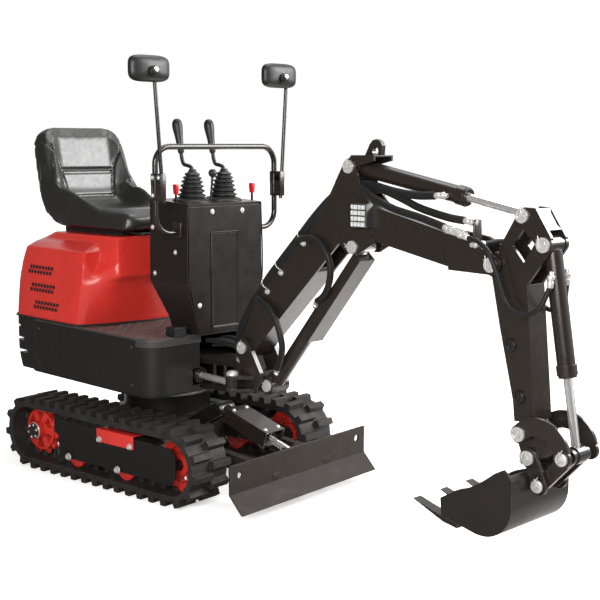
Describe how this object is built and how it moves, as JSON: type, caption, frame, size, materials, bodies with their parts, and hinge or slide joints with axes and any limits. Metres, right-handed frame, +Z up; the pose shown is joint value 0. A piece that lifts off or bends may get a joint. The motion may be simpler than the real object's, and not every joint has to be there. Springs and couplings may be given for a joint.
{
  "type": "mini excavator",
  "caption": "Small open-seat excavator on rubber tracks with a slewing house, a swing boom, an arm, a toothed bucket and a dozer blade.",
  "frame": {"origin": "on the ground under the slew axis", "axes": "+X the way the boom points, +Y to the operator's left, +Z up"},
  "size_m": [2.886, 1.0065, 1.8105],
  "materials": {
    "red_paint": "gloss",
    "black_paint": "gloss",
    "grey_paint": "satin",
    "engine_alloy": "cast",
    "rubber": "matte",
    "black_plastic": "matte",
    "seat_vinyl": "grained",
    "seat_frame": "satin",
    "bright_steel": "zinc",
    "chrome_rod": "polished",
    "lamp": "satin"
  },
  "bodies": {
    "undercarriage": {"chassis": "grey_paint", "slew_bearing": "bright_steel", "track_frames": "grey_paint", "track_left": "rubber", "track_right": "rubber", "sprockets": "red_paint", "idlers": "red_paint", "rollers": "red_paint", "travel_motors": "grey_paint"},
    "upper": {"deck": "grey_paint", "counterweight": "grey_paint", "skirt": "grey_paint", "footboard": "grey_paint", "hood": "red_paint", "engine": "engine_alloy", "seat_base": "seat_frame", "seat_cushion": "seat_vinyl", "seat_back": "seat_vinyl", "console": "black_paint", "console_panel": "black_paint", "lever_boots": "black_plastic", "levers": "black_plastic", "pedals": "black_plastic", "handrail": "black_paint", "mirror_poles": "black_paint", "mirrors": "black_plastic"},
    "blade": {"blade": "grey_paint"},
    "swing_bracket": {"swing_bracket": "black_paint", "bracket_pins": "bright_steel"},
    "boom": {"boom": "black_paint", "boom_pins": "bright_steel", "work_lamp": "lamp", "lifting_eye": "black_paint"},
    "arm": {"arm": "black_paint", "arm_pins": "bright_steel"},
    "bucket": {"bucket": "grey_paint", "bucket_teeth": "bright_steel"},
    "boom_cyl_rod": {"boom_cyl_rod": "chrome_rod", "rod_guard": "black_paint"},
    "boom_cyl_barrel": {"boom_cyl_barrel": "black_paint"},
    "arm_cyl_barrel": {"arm_cyl_barrel": "black_paint"},
    "arm_cyl_rod": {"arm_cyl_rod": "chrome_rod"},
    "bucket_cyl_barrel": {"bucket_cyl_barrel": "black_paint"},
    "bucket_cyl_rod": {"bucket_cyl_rod": "chrome_rod"},
    "rocker": {"rocker": "black_paint"},
    "bucket_link": {"bucket_link": "black_paint"},
    "swing_cyl_barrel": {"swing_cyl_barrel": "black_paint"},
    "swing_cyl_rod": {"swing_cyl_rod": "chrome_rod"},
    "blade_cyl_barrel": {"blade_cyl_barrel": "black_paint"},
    "blade_cyl_rod": {"blade_cyl_rod": "chrome_rod"}
  },
  "joints": [
    {"name": "slew", "type": "hinge", "parent": "undercarriage", "child": "upper", "pos_m": [0, 0, 0], "axis": [0, 0, 1], "continuous": true},
    {"name": "boom_swing", "type": "hinge", "parent": "upper", "child": "swing_bracket", "pos_m": [0.53, 0, 0.5], "axis": [0, 0, 1], "range_deg": [-50, 50]},
    {"name": "boom_lift", "type": "hinge", "parent": "swing_bracket", "child": "boom", "pos_m": [0.602, 0, 0.635], "axis": [0, -1, 0], "range_deg": [-50, 38]},
    {"name": "arm_curl", "type": "hinge", "parent": "boom", "child": "arm", "pos_m": [1.842, 0, 1.07], "axis": [0, 1, 0], "range_deg": [-52, 48]},
    {"name": "bucket_dump", "type": "hinge", "parent": "arm", "child": "bucket", "pos_m": [2.004, 0, 0.44], "axis": [0, -1, 0], "range_deg": [-60, 95]},
    {"name": "blade_lift", "type": "hinge", "parent": "undercarriage", "child": "blade", "pos_m": [0.29872, 0.02771, 0.185], "axis": [0.0924, -0.9957, 0], "range_deg": [-20, 17]},
    {"name": "boom_cylinder_turn", "type": "hinge", "parent": "swing_bracket", "child": "boom_cyl_barrel", "pos_m": [0.722, 0, 0.489], "axis": [0, -1, 0], "range_deg": [-49.92, 37.94]},
    {"name": "boom_cylinder_stroke", "type": "slide", "parent": "boom_cyl_barrel", "child": "boom_cyl_rod", "axis": [0.6303, 0, 0.7763], "range_m": [-0.15349, 0.11668]},
    {"name": "arm_cylinder_turn", "type": "hinge", "parent": "boom", "child": "arm_cyl_barrel", "pos_m": [1.18, 0, 1.387], "axis": [0, -1, 0], "range_deg": [-3.78, 4.09]},
    {"name": "arm_cylinder_stroke", "type": "slide", "parent": "arm_cyl_barrel", "child": "arm_cyl_rod", "axis": [0.9818, 0, -0.19], "range_m": [-0.15316, 0.14138]},
    {"name": "rocker_turn", "type": "hinge", "parent": "arm", "child": "rocker", "pos_m": [1.982, 0, 0.521], "axis": [0, -1, 0], "range_deg": [-37.22, 58.92]},
    {"name": "bucket_link_turn", "type": "hinge", "parent": "bucket", "child": "bucket_link", "pos_m": [2.049, 0, 0.354], "axis": [0, -1, 0], "range_deg": [-49.42, 31.22]},
    {"name": "bucket_cylinder_turn", "type": "hinge", "parent": "arm", "child": "bucket_cyl_barrel", "pos_m": [2.034, 0, 1.147], "axis": [0, -1, 0], "range_deg": [-2.57, 4.05]},
    {"name": "bucket_cylinder_stroke", "type": "slide", "parent": "bucket_cyl_barrel", "child": "bucket_cyl_rod", "axis": [0.1682, 0, -0.9858], "range_m": [-0.15074, 0.09524]},
    {"name": "swing_cylinder_turn", "type": "hinge", "parent": "upper", "child": "swing_cyl_barrel", "pos_m": [0.06, -0.075, 0.49], "axis": [0, 0, 1], "range_deg": [-6.16, 6.16]},
    {"name": "swing_cylinder_stroke", "type": "slide", "parent": "swing_cyl_barrel", "child": "swing_cyl_rod", "axis": [0.9967, -0.0812, 0], "range_m": [-0.09499, 0.09499]},
    {"name": "blade_cylinder_turn", "type": "hinge", "parent": "undercarriage", "child": "blade_cyl_barrel", "pos_m": [0.3505, 0.03251, 0.318], "axis": [0.0924, -0.9957, 0], "range_deg": [-20.26, 17.23]},
    {"name": "blade_cylinder_stroke", "type": "slide", "parent": "blade_cyl_barrel", "child": "blade_cyl_rod", "axis": [0.9492, 0.0881, -0.302], "range_m": [-0.04131, 0.04858]}
  ],
  "couplings": [
    {"joint": "boom_cylinder_turn", "follows": "boom_lift", "ratio": 0.998},
    {"joint": "boom_cylinder_stroke", "follows": "boom_lift", "m_per_rad": 0.17578},
    {"joint": "arm_cylinder_turn", "follows": "arm_curl", "ratio": -0.0783},
    {"joint": "arm_cylinder_stroke", "follows": "arm_curl", "m_per_rad": 0.16864},
    {"joint": "rocker_turn", "follows": "bucket_dump", "ratio": 0.62},
    {"joint": "bucket_link_turn", "follows": "bucket_dump", "ratio": -0.52},
    {"joint": "bucket_cylinder_turn", "follows": "bucket_dump", "ratio": 0.042479},
    {"joint": "bucket_cylinder_stroke", "follows": "bucket_dump", "m_per_rad": -0.090854},
    {"joint": "swing_cylinder_turn", "follows": "boom_swing", "ratio": 0.12286},
    {"joint": "swing_cylinder_stroke", "follows": "boom_swing", "m_per_rad": 0.10874},
    {"joint": "blade_cylinder_turn", "follows": "blade_lift", "ratio": 1.0122},
    {"joint": "blade_cylinder_stroke", "follows": "blade_lift", "m_per_rad": -0.13888}
  ]
}
